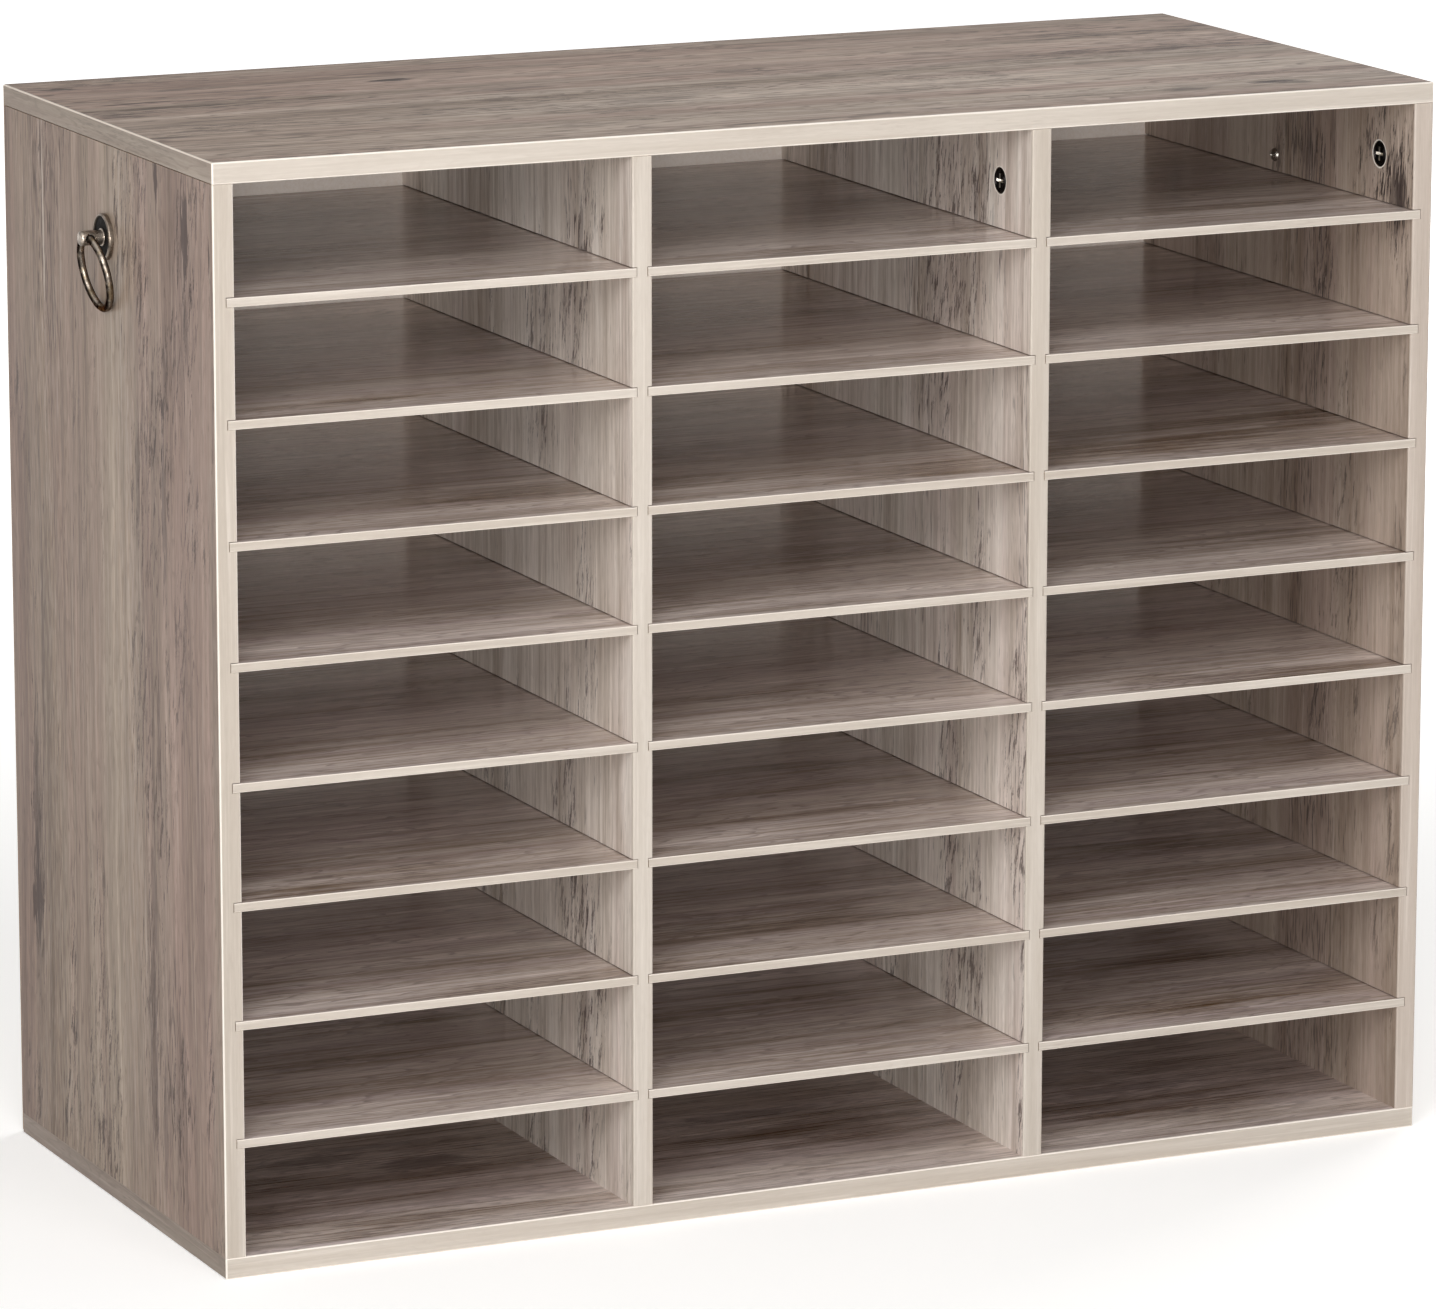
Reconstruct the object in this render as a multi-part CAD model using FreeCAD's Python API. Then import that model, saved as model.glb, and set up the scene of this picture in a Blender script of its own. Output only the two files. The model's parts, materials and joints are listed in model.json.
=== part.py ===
import FreeCAD, Part
import math
import os

# Mail sorter: a carcass of laminated boards with three columns of nine slots.
# Millimetres. The origin is on the floor under the middle, +X to the right,
# +Y to the back and +Z up, so the open front faces -Y.

# Overall size over the boards
width = 744.0
depth = 330.0
height = 616.0

# Boards, back sheet and edge bands
board = 12.0
back_sheet = 3.0
back_sheet_inset = 1.0
band = 1.2
band_rounding = 1.0
back_edge_rounding = 0.6

# Slots
columns = 3
rows = 9
shelf = 5.0
shelf_rounding = 0.6
side_groove_depth = 5.0
divider_groove_depth = 3.0
groove_play = 0.5
shelf_end_play = 0.4
shelf_back_play = 0.5

# Cam fittings that pull the top down on the uprights
cam_diameter = 15.0
cam_back_wall = 2.5
cam_from_end = 34.0
cam_from_edge = 40.0
cam_cross_length = 8.0
cam_cross_width = 1.6
cam_cross_depth = 1.4
bolt_shank_diameter = 5.0
bolt_neck_diameter = 3.4
bolt_head_diameter = 6.2
bolt_head_length = 3.0
bolt_neck_length = 5.0
bolt_thread_diameter = 6.0
top_skin = 3.0

# Dowels in both ends of the uprights
dowel_diameter = 6.0
dowel_in_upright = 17.0
dowel_from_cam = 32.0
dowel_skin = 4.0

# Screws through the bottom board
base_screw_diameter = 4.0
base_screw_in_upright = 28.0
base_screw_head_diameter = 8.0
base_screw_head_length = 3.0
base_screw_cross_depth = 1.2
base_screw_cross_width = 1.0

# Nails through the back sheet
nail_diameter = 1.4
nail_in_board = 12.0
nail_head_diameter = 4.0
nail_head_thickness = 0.6
nail_spacing = 140.0
nail_from_corner = 30.0

# Ring pulls on both sides
pull_below_top = 63.5
rose_diameter = 26.0
rose_thickness = 3.0
rose_rim_width = 2.2
rose_dish_depth = 0.8
rose_rounding = 1.2
post_diameter = 8.4
post_past_hole = 5.2
post_rounding = 1.4
post_foot_diameter = 10.0
post_foot_height = 1.0
ring_reach = 10.5
ring_outer_diameter = 44.5
ring_rod_diameter = 4.2
ring_hole_play = 0.16
ring_panel_gap = 0.3
pull_screw_diameter = 4.0
pull_screw_in_post = 4.0
pull_screw_head_diameter = 8.0
pull_screw_head_height = 2.6
pull_screw_cross_depth = 1.0
pull_screw_cross_width = 1.0

# Clearance all round a fastener in its hole
hole_play = 0.1

# Places that follow from the sizes
front = -depth / 2
board_front = front + band
board_back = depth / 2 - back_sheet
inside_bottom = board
inside_top = height - board
bay = (width - (columns + 1) * board) / columns
slot_height = (height - 2 * board - (rows - 1) * shelf) / rows
fitting_rows = [front + cam_from_edge, board_back - cam_from_edge]
dowel_rows = [fitting_rows[0] + dowel_from_cam, fitting_rows[1] - dowel_from_cam]
cam_height = inside_top - cam_from_end
cam_depth = board - cam_back_wall
dowel_in_panel = board - dowel_skin
pull_height = height - pull_below_top
pull_depth = (front + board_back) / 2
ring_radius = (ring_outer_diameter - ring_rod_diameter) / 2
post_length = ring_reach + post_past_hole
ring_sagitta = ring_radius - math.sqrt(ring_radius ** 2 - (post_diameter / 2) ** 2)
ring_hole_diameter = ring_rod_diameter + 2 * (ring_sagitta + ring_hole_play)
ring_lean = math.asin((ring_reach - ring_rod_diameter / 2 - ring_panel_gap) / (2 * ring_radius))

along_x = FreeCAD.Vector(1, 0, 0)
along_y = FreeCAD.Vector(0, 1, 0)
along_z = FreeCAD.Vector(0, 0, 1)


def block(x0, x1, y0, y1, z0, z1):
    corner = FreeCAD.Vector(x0, y0, z0)
    return Part.makeBox(x1 - x0, y1 - y0, z1 - z0, corner)


def rod(start, direction, length, diameter):
    return Part.makeCylinder(diameter / 2, length, start, direction)


def save(node, shape):
    shape.exportStep("parts/" + node + ".step")


def save_group(node, solids):
    save(node, Part.makeCompound(solids))


def round_edges(shape, radius, wanted):
    # Rounds each edge that the test picks, given the edge's two end points.
    edges = []
    for edge in shape.Edges:
        ends = [vertex.Point for vertex in edge.Vertexes]
        if wanted(ends[0], ends[-1]):
            edges.append(edge)
    return shape.makeFillet(radius, edges)


def same(a, b):
    return abs(a - b) < 1e-6


# Uprights: left side, dividers and right side, counted from the left

def upright_left_face(index):
    return -width / 2 + index * (bay + board)


def upright_middle(index):
    return upright_left_face(index) + board / 2


def upright_name(index):
    if index == 0:
        return "left_side"
    if index == columns:
        return "right_side"
    return "divider_" + str(index)


def groove_depth(index):
    if index in (0, columns):
        return side_groove_depth
    return divider_groove_depth


def shelf_bottom(row):
    # Row 1 is the lowest shelf.
    return inside_bottom + row * slot_height + (row - 1) * shelf


def cut_grooves(shape, index):
    # Grooves run from front to back on every face that looks into a column.
    left = upright_left_face(index)
    right = left + board
    cutters = []
    for row in range(1, rows):
        low = shelf_bottom(row)
        high = low + shelf + groove_play
        if index > 0:
            cutters.append(block(left, left + groove_depth(index), front, board_back, low, high))
        if index < columns:
            cutters.append(block(right - groove_depth(index), right, front, board_back, low, high))
    return shape.cut(cutters)


def cam_face(index):
    # The cams sit on the face that looks towards the middle of the sorter.
    if upright_middle(index) < 0:
        return upright_left_face(index) + board, -along_x
    return upright_left_face(index), along_x


def cam_centres(index):
    face, inward = cam_face(index)
    return [(FreeCAD.Vector(face, y, cam_height), inward) for y in fitting_rows]


def cam(centre, inward):
    body = rod(centre, inward, cam_depth, cam_diameter)
    slot = bolt_head_diameter + 4 * hole_play
    near = board / 2 - slot / 2
    channel = Part.makeBox(cam_depth - near, slot, cam_diameter)
    channel.translate(FreeCAD.Vector(near, -slot / 2, -bolt_head_length / 2 - 4 * hole_play))
    bars = []
    half_length = cam_cross_length / 2
    half_width = cam_cross_width / 2
    for a, b in ((half_length, half_width), (half_width, half_length)):
        bars.append(block(0, cam_cross_depth, -a, a, -b, b))
    cutters = [channel] + bars
    if inward.x < 0:
        cutters = [shape.mirror(FreeCAD.Vector(0, 0, 0), along_x) for shape in cutters]
    for shape in cutters:
        shape.translate(centre)
    return body.cut(cutters)


def cam_bolt(x, y):
    thread_top = inside_top + board - top_skin
    neck_top = cam_height + bolt_head_length / 2 + bolt_neck_length
    neck_bottom = cam_height + bolt_head_length / 2
    down = -along_z
    thread = rod(FreeCAD.Vector(x, y, thread_top), down, board - top_skin, bolt_thread_diameter)
    shank = rod(FreeCAD.Vector(x, y, inside_top), down, inside_top - neck_top, bolt_shank_diameter)
    neck = rod(FreeCAD.Vector(x, y, neck_top), down, bolt_neck_length, bolt_neck_diameter)
    head = rod(FreeCAD.Vector(x, y, neck_bottom), down, bolt_head_length, bolt_head_diameter)
    return thread.fuse([shank, neck, head]).removeSplitter()


def bolt_holes(x, y):
    # One stepped hole: the thread's hole in the top and the wider one in the upright.
    wide = max(bolt_head_diameter, bolt_shank_diameter) + 2 * hole_play
    thread_top = inside_top + board - top_skin + hole_play
    bottom = cam_height - bolt_head_length / 2 - hole_play
    upper = rod(FreeCAD.Vector(x, y, inside_top), along_z, thread_top - inside_top,
                bolt_thread_diameter + 2 * hole_play)
    lower = rod(FreeCAD.Vector(x, y, bottom), along_z, inside_top - bottom, wide)
    return upper, lower


def dowel(x, y, at_top, play):
    length = dowel_in_upright + dowel_in_panel
    if at_top:
        low = inside_top - dowel_in_upright
    else:
        low = inside_bottom - dowel_in_panel
    start = FreeCAD.Vector(x, y, low - play)
    return rod(start, along_z, length + 2 * play, dowel_diameter + 2 * play)


def base_screw(x, y, play):
    head = Part.makeCone(base_screw_head_diameter / 2 + play, base_screw_diameter / 2 + play,
                         base_screw_head_length, FreeCAD.Vector(x, y, 0), along_z)
    length = inside_bottom + base_screw_in_upright + play
    shank = rod(FreeCAD.Vector(x, y, 0), along_z, length, base_screw_diameter + 2 * play)
    return head.fuse(shank).removeSplitter()


def cross_recess(length, width_across, recess_depth):
    # A cross that is cut into a screw head, centred on the origin and going up.
    first = block(-length / 2, length / 2, -width_across / 2, width_across / 2, 0, recess_depth)
    second = block(-width_across / 2, width_across / 2, -length / 2, length / 2, 0, recess_depth)
    return first.fuse(second)


def upright_fitting_cutters(index):
    x = upright_middle(index)
    cutters = []
    for centre, inward in cam_centres(index):
        cutters.append(rod(centre, inward, cam_depth + hole_play, cam_diameter + 2 * hole_play))
    for y in fitting_rows:
        cutters.append(bolt_holes(x, y)[1])
        cutters.append(base_screw(x, y, hole_play))
    for y in dowel_rows:
        cutters.append(dowel(x, y, True, hole_play))
        cutters.append(dowel(x, y, False, hole_play))
    return cutters


def make_uprights():
    for index in range(columns + 1):
        left = upright_left_face(index)
        right = left + board
        panel = block(left, right, board_front, board_back, inside_bottom, inside_top)
        if index in (0, columns):
            outer = -width / 2 if index == 0 else width / 2
            panel = round_edges(panel, back_edge_rounding,
                                lambda a, b: same(a.x, outer) and same(b.x, outer)
                                and same(a.y, board_back) and same(b.y, board_back))
        panel = cut_grooves(panel, index)
        panel = panel.cut(upright_fitting_cutters(index) + nail_cutters())
        if index == 0:
            panel = panel.cut(pull_screw_hole())
        if index == columns:
            panel = panel.cut(mirrored(pull_screw_hole()))
        save(upright_name(index) + "_panel", panel)
        strip = block(left, right, front, board_front, inside_bottom, inside_top)
        strip = round_edges(strip, band_rounding,
                            lambda a, b: same(a.y, front) and same(b.y, front) and not same(a.z, b.z))
        save(upright_name(index) + "_front_band", cut_grooves(strip, index))


# Top and bottom boards with their bands

def make_level_board(name, z0, cutters):
    z1 = z0 + board
    left = -width / 2
    right = width / 2
    panel = block(left + band, right - band, board_front, board_back, z0, z1)
    save(name + "_panel", panel.cut(cutters))
    strip = block(left, right, front, board_front, z0, z1)
    strip = round_edges(strip, band_rounding, lambda a, b: same(a.y, front) and same(b.y, front))
    save(name + "_front_band", strip)
    for side, x0, outer in (("left", left, left), ("right", right - band, right)):
        end = block(x0, x0 + band, board_front, board_back, z0, z1)
        end = round_edges(end, band_rounding,
                          lambda a, b: same(a.x, outer) and same(b.x, outer)
                          and not (same(a.y, board_front) and same(b.y, board_front)))
        save(name + "_" + side + "_band", end)


def make_top():
    cutters = nail_cutters()
    for index in range(columns + 1):
        x = upright_middle(index)
        for y in fitting_rows:
            cutters.append(bolt_holes(x, y)[0])
        for y in dowel_rows:
            cutters.append(dowel(x, y, True, hole_play))
    make_level_board("top", inside_top, cutters)


def make_bottom():
    cutters = nail_cutters()
    for index in range(columns + 1):
        x = upright_middle(index)
        for y in fitting_rows:
            cutters.append(base_screw(x, y, hole_play))
        for y in dowel_rows:
            cutters.append(dowel(x, y, False, hole_play))
    make_level_board("bottom", 0.0, cutters)


# Back sheet and its nails

def spread(first, last, spacing):
    # Evenly spaced places from first to last, no further apart than the spacing.
    steps = max(1, math.ceil((last - first) / spacing))
    return [first + (last - first) * i / steps for i in range(steps + 1)]


def nail_places():
    places = []
    across = spread(-width / 2 + nail_from_corner, width / 2 - nail_from_corner, nail_spacing)
    for x in across:
        places.append((x, inside_top + board / 2))
        places.append((x, board / 2))
    up = spread(inside_bottom + nail_from_corner, inside_top - nail_from_corner, nail_spacing)
    for index in range(columns + 1):
        for z in up:
            places.append((upright_middle(index), z))
    return places


def nail(x, z, play):
    tip = FreeCAD.Vector(x, board_back - nail_in_board - play, z)
    shank_length = depth / 2 - tip.y
    shank = rod(tip, along_y, shank_length, nail_diameter + 2 * play)
    head_start = FreeCAD.Vector(x, depth / 2 - nail_head_thickness - play, z)
    head_length = depth / 2 - head_start.y
    head = rod(head_start, along_y, head_length, nail_head_diameter + 2 * play)
    return shank.fuse(head).removeSplitter()


def nail_cutters():
    return [nail(x, z, hole_play) for x, z in nail_places()]


def make_back():
    x = width / 2 - back_sheet_inset
    z0 = back_sheet_inset
    z1 = height - back_sheet_inset
    sheet = block(-x, x, board_back, depth / 2, z0, z1)
    save("back_panel", sheet.cut(nail_cutters()))
    save_group("back_nails", [nail(x, z, 0.0) for x, z in nail_places()])


# Fittings in the carcass

def make_fittings():
    cams = []
    bolts = []
    dowels = []
    screws = []
    cross = cross_recess(base_screw_head_diameter / 2, base_screw_cross_width, base_screw_cross_depth)
    for index in range(columns + 1):
        x = upright_middle(index)
        for centre, inward in cam_centres(index):
            cams.append(cam(centre, inward))
        for y in fitting_rows:
            bolts.append(cam_bolt(x, y))
            recess = cross.copy()
            recess.translate(FreeCAD.Vector(x, y, 0))
            screws.append(base_screw(x, y, 0.0).cut(recess))
        for y in dowel_rows:
            dowels.append(dowel(x, y, True, 0.0))
            dowels.append(dowel(x, y, False, 0.0))
    save_group("cam_locks", cams)
    save_group("cam_bolts", bolts)
    save_group("dowels", dowels)
    save_group("base_screws", screws)


# Shelves

def make_shelves():
    for column in range(columns):
        left = upright_left_face(column) + board - groove_depth(column) + shelf_end_play
        right = upright_left_face(column + 1) + groove_depth(column + 1) - shelf_end_play
        for row in range(1, rows):
            low = shelf_bottom(row)
            sheet = block(left, right, front, board_back - shelf_back_play, low, low + shelf)
            sheet = round_edges(sheet, shelf_rounding,
                                lambda a, b: same(a.y, front) and same(b.y, front) and same(a.z, b.z))
            save("column_" + str(column + 1) + "_shelf_" + str(row), sheet)


# Ring pulls: modelled on the left side and mirrored for the right one

def mirrored(shape):
    return shape.mirror(FreeCAD.Vector(0, 0, 0), along_x)


def pull_point(out):
    # A point on the pull's axis, this far out of the left side's face.
    return FreeCAD.Vector(-width / 2 - out, pull_depth, pull_height)


def pull_screw_hole():
    length = board + rose_thickness + pull_screw_in_post + hole_play
    return rod(pull_point(-board), -along_x, length, pull_screw_diameter + 2 * hole_play)


def rose():
    plate = rod(pull_point(0.0), -along_x, rose_thickness, rose_diameter)
    face = -width / 2 - rose_thickness
    plate = round_edges(plate, rose_rounding, lambda a, b: same(a.x, face) and same(b.x, face))
    dish_start = pull_point(rose_thickness - rose_dish_depth)
    dish = rod(dish_start, -along_x, rose_dish_depth, rose_diameter - 2 * rose_rim_width)
    return plate.cut([dish, pull_screw_hole()])


def post():
    seat = rose_thickness - rose_dish_depth
    stem = rod(pull_point(seat), -along_x, post_length - seat, post_diameter)
    tip = -width / 2 - post_length
    stem = round_edges(stem, post_rounding, lambda a, b: same(a.x, tip) and same(b.x, tip))
    foot = rod(pull_point(seat), -along_x, post_foot_height, post_foot_diameter)
    hole_start = pull_point(ring_reach) - along_y * post_foot_diameter
    ring_hole = rod(hole_start, along_y, 2 * post_foot_diameter, ring_hole_diameter)
    return stem.fuse(foot).removeSplitter().cut([ring_hole, pull_screw_hole()])


def ring():
    # The ring hangs from the post's hole and leans in until it all but meets the side.
    towards_bottom = FreeCAD.Vector(math.sin(ring_lean), 0, -math.cos(ring_lean))
    across = FreeCAD.Vector(math.cos(ring_lean), 0, math.sin(ring_lean))
    centre = pull_point(ring_reach) + towards_bottom * ring_radius
    return Part.makeTorus(ring_radius, ring_rod_diameter / 2, centre, across)


def pull_screw():
    seat = -width / 2 + board
    shank_length = board + rose_thickness + pull_screw_in_post - rose_dish_depth
    shank = rod(pull_point(-board), -along_x, shank_length, pull_screw_diameter)
    radius = pull_screw_head_diameter / 2
    ball_radius = (radius ** 2 + pull_screw_head_height ** 2) / (2 * pull_screw_head_height)
    ball_centre = pull_point(-board - pull_screw_head_height + ball_radius)
    ball = Part.makeSphere(ball_radius, ball_centre)
    cap_room = rod(pull_point(-board), along_x, pull_screw_head_height, pull_screw_head_diameter)
    head = ball.common(cap_room)
    cross = cross_recess(radius, pull_screw_cross_width, pull_screw_cross_depth)
    cross.rotate(FreeCAD.Vector(0, 0, 0), along_y, -90)
    cross.translate(FreeCAD.Vector(seat + pull_screw_head_height, pull_depth, pull_height))
    return shank.fuse(head).removeSplitter().cut(cross)


def make_pulls():
    pieces = {"rose": rose(), "post": post(), "ring": ring(), "screw": pull_screw()}
    for name, shape in pieces.items():
        save("left_pull_" + name, shape)
        save("right_pull_" + name, mirrored(shape))


make_uprights()
make_top()
make_bottom()
make_back()
make_fittings()
make_shelves()
make_pulls()
print("ring lean", round(math.degrees(ring_lean), 2), "slot height", round(slot_height, 3), "bay", bay)
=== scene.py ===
import json
import math
import bmesh
import bpy
from mathutils import Matrix, Vector


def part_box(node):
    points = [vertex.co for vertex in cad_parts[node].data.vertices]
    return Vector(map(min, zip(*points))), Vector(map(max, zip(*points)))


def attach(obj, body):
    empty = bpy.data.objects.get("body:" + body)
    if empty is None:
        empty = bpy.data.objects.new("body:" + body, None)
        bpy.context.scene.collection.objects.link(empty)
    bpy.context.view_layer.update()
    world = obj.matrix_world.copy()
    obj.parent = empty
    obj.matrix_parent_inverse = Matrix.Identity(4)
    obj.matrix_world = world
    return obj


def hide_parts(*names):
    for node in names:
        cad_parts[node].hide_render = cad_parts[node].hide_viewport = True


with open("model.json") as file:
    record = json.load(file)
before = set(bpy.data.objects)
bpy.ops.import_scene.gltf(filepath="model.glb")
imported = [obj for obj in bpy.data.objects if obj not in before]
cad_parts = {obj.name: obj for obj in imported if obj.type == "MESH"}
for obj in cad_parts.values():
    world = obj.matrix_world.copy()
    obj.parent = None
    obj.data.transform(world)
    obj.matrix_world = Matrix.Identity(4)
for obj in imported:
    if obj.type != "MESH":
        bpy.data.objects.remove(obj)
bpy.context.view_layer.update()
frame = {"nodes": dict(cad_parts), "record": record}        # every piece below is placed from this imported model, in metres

scene = bpy.context.scene
scene.view_settings.view_transform = "Standard"
mm = 0.001


# Small helpers for colours, nodes and meshes

def paint(red, green, blue):
    # A colour as a paint chart gives it (0 to 255), turned into Blender's linear numbers.
    def linear(value):
        share = value / 255
        return share / 12.92 if share <= 0.04045 else ((share + 0.055) / 1.055) ** 2.4
    return (linear(red), linear(green), linear(blue), 1.0)


def tones(**paints):
    return {name: paint(*values) for name, values in paints.items()}


def feed(tree, sockets, values):
    # Links or sets each named socket. None leaves it as it is.
    for name, value in values.items():
        if isinstance(value, bpy.types.NodeSocket):
            tree.links.new(value, sockets[name])
        elif value is not None:
            sockets[name].default_value = value


def addNode(tree, kind, inputs=None, **settings):
    node = tree.nodes.new(kind)
    for name, value in settings.items():
        setattr(node, name, value)
    feed(tree, node.inputs, inputs or {})
    return node


def maths(tree, operation, *values):
    return addNode(tree, "ShaderNodeMath", dict(enumerate(values)), operation=operation).outputs[0]


def product(tree, first, *others):
    for other in others:
        first = maths(tree, "MULTIPLY", first, other)
    return first


def largest(tree, first, *others):
    for other in others:
        first = maths(tree, "MAXIMUM", first, other)
    return first


def timesPlus(tree, value, factor, plus):
    return maths(tree, "MULTIPLY_ADD", value, factor, plus)


def vectorMaths(tree, operation, *vectors):
    node = addNode(tree, "ShaderNodeVectorMath", dict(enumerate(vectors)), operation=operation)
    return node.outputs["Value" if operation in ("LENGTH", "DOT_PRODUCT", "DISTANCE") else "Vector"]


def split(tree, vector):
    return list(addNode(tree, "ShaderNodeSeparateXYZ", {0: vector}).outputs)


def combine(tree, *axes):
    return addNode(tree, "ShaderNodeCombineXYZ", dict(enumerate(axes))).outputs[0]


def remap(tree, value, low, high, toLow=0.0, toHigh=1.0):
    node = addNode(tree, "ShaderNodeMapRange", {0: value, 1: low, 2: high, 3: toLow, 4: toHigh},
                   interpolation_type="SMOOTHSTEP")
    return node.outputs[0]


def mixColour(tree, amount, first, second, way="MIX"):
    node = addNode(tree, "ShaderNodeMix", {0: amount, 6: first, 7: second}, data_type="RGBA", blend_type=way)
    return node.outputs[2]


def noise(tree, vector, detail=2.0, roughness=0.5, scale=1.0):
    inputs = {"Vector": vector, "Scale": scale, "Detail": detail, "Roughness": roughness}
    return addNode(tree, "ShaderNodeTexNoise", inputs).outputs[0]


def newGroup(name, kind, inputs, outputs):
    # An input is a number, which makes it a float with that value, or else the kind of its socket.
    tree = bpy.data.node_groups.new(name, kind)
    for label, value in inputs.items():
        socketType = "NodeSocket" + (value if isinstance(value, str) else "Float")
        socket = tree.interface.new_socket(name=label, in_out="INPUT", socket_type=socketType)
        if not isinstance(value, str):
            socket.default_value = value
    for label, socketKind in outputs.items():
        tree.interface.new_socket(name=label, in_out="OUTPUT", socket_type="NodeSocket" + socketKind)
    start = tree.nodes.new("NodeGroupInput").outputs
    end = tree.nodes.new("NodeGroupOutput").inputs
    return tree, start, end


def useGroup(tree, group, inputs):
    return addNode(tree, "ShaderNodeGroup", inputs, node_tree=group).outputs


def newMaterial(name, **values):
    material = bpy.data.materials.new(name)
    material.use_nodes = True
    tree = material.node_tree
    surface = tree.nodes["Principled BSDF"].inputs
    feed(tree, surface, values)
    objectPlace = addNode(tree, "ShaderNodeTexCoord").outputs["Object"]
    return material, tree, surface, objectPlace


def addBump(tree, surface, height, strength, distance):
    bump = addNode(tree, "ShaderNodeBump", {"Height": height, "Strength": strength, "Distance": distance})
    feed(tree, surface, {"Normal": bump.outputs[0]})


def addObject(name, data):
    thing = bpy.data.objects.new(name, data)
    scene.collection.objects.link(thing)
    return thing


def corners(node):
    return [Vector(corner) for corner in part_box(node)]


# Camera and light

cameraView = {
    "place": (-1.830, -3.960, 1.230),
    "pitch": -12.24,
    "roll": -0.05,
    "yaw": -24.80,
    "lens": 193.9,
    "sensor": 36.0,
    "farthest": 60.0,
}


def makeCamera(view):
    data = bpy.data.cameras.new("productCamera")
    data.sensor_fit = "HORIZONTAL"
    data.sensor_width = view["sensor"]
    data.lens = view["lens"]
    data.clip_end = view["farthest"]
    place = Matrix.Translation(view["place"])
    # Blender's camera looks along its own -Z, so a last turn about X makes it look level.
    for axis, angle in (("Z", view["yaw"]), ("X", view["pitch"]), ("Y", view["roll"]), ("X", 90)):
        place = place @ Matrix.Rotation(math.radians(angle), 4, axis)
    scene.camera = addObject("productCamera", data)
    scene.camera.matrix_world = place


studio = {
    "skyLight": 0.26,
    "floorColour": paint(248, 247, 245),
    "floorRadius": 30.0,
    "floorSides": 96,
    "glowNear": 0.33,
    "glowFar": 0.85,
    "glowReach": (0.6, 2.4),
    "lamps": {
        # place, size (m), power (W)
        "keySoftbox": ((-2.75, -2.55, 1.85), (1.8, 1.4), 54.0),
        "highSoftbox": ((-0.5, -1.9, 2.6), (2.0, 1.2), 25.0),
        "lowSoftbox": ((-1.5, -3.9, 0.7), (1.0, 0.35), 70.0),
        "rearSoftbox": ((3.0, 2.1, 2.2), (1.8, 1.4), 56.0),
    },
    "aim": (0.0, 0.0, 0.3),
}


def seenByCamera(tree):
    # 1 on rays from the camera, straight or by way of metal and glass, and 0 on light for the object.
    rays = addNode(tree, "ShaderNodeLightPath").outputs
    return largest(tree, rays["Is Camera Ray"], rays["Is Glossy Ray"], rays["Is Transmission Ray"])


def makeSky(spec):
    world = bpy.data.worlds.new("whiteRoom")
    world.use_nodes = True
    scene.world = world
    tree = world.node_tree
    strength = timesPlus(tree, seenByCamera(tree), 1.0 - spec["skyLight"], spec["skyLight"])
    feed(tree, tree.nodes["Background"].inputs, {"Color": (1, 1, 1, 1), "Strength": strength})


def makeLamps(spec):
    for name, (place, size, power) in spec["lamps"].items():
        data = bpy.data.lights.new(name, "AREA")
        data.shape = "RECTANGLE"
        data.size, data.size_y = size
        data.energy = power
        lamp = addObject(name, data)
        lamp.location = place
        lamp.rotation_euler = (Vector(spec["aim"]) - Vector(place)).to_track_quat("-Z", "Y").to_euler()


def makeFloor(spec):
    mesh = bpy.data.meshes.new("studioFloor")
    disc = bmesh.new()
    bmesh.ops.create_circle(disc, cap_ends=True, segments=spec["floorSides"], radius=spec["floorRadius"])
    disc.to_mesh(mesh)
    disc.free()
    floor = addObject("studioFloor", mesh)
    material, tree, surface, place = newMaterial("studioFloorPaint", Roughness=0.9)
    near, far = spec["glowReach"]
    glow = remap(tree, vectorMaths(tree, "LENGTH", place), near, far, spec["glowNear"], spec["glowFar"])
    feed(tree, surface, {
        "Base Color": spec["floorColour"], "Specular IOR Level": 0.0, "Emission Color": (1, 1, 1, 1),
        "Emission Strength": product(tree, glow, seenByCamera(tree))})
    mesh.materials.append(material)


makeCamera(cameraView)
makeSky(studio)
makeLamps(studio)
makeFloor(studio)
print("camera and studio are set")


# Shared shader groups

# What a board may set of its print, with the usual values.
oakPrint = {
    "seed": 0.0, "size": 1.5, "plank": 0.035, "wave": 0.016, "contrast": 1.2, "smudge": 0.08,
    "fibre": 1.0, "lines": 0.3, "fleck": 0.6, "crack": 0.6, "paleAmount": 0.35,
    "warm": "Color", "cool": "Color", "dark": "Color", "pale": "Color",
}
# Each layer of the print: its stretch along and across the grain, its offset, detail and roughness.
oakLayers = {
    "bend": (2.2, 9.0, 0.0, 1.0, 0.5),
    "shiver": (30.0, 90.0, 4.0, 2.0, 0.5),
    "broad": (2.0, 38.0, 6.0, 3.0, 0.5),
    "streak": (5.0, 170.0, 9.0, 5.0, 0.66),
    "fibre": (11.0, 480.0, 2.0, 4.0, 0.72),
    "grit": (150.0, 1050.0, 7.0, 1.0, 0.5),
    "patch": (4.5, 21.0, 17.0, 3.0, 0.6),
    "growth": (7.0, 45.0, 13.0, 3.0, 0.5),
    "pores": (80.0, 1000.0, 5.0, 2.0, 0.6),
    "ticks": (62.0, 400.0, 3.0, 4.0, 0.8),
    "groups": (5.5, 26.0, 29.0, 3.0, 0.6),
    "paleFibre": (8.0, 430.0, 31.0, 3.0, 0.6),
}


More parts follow.
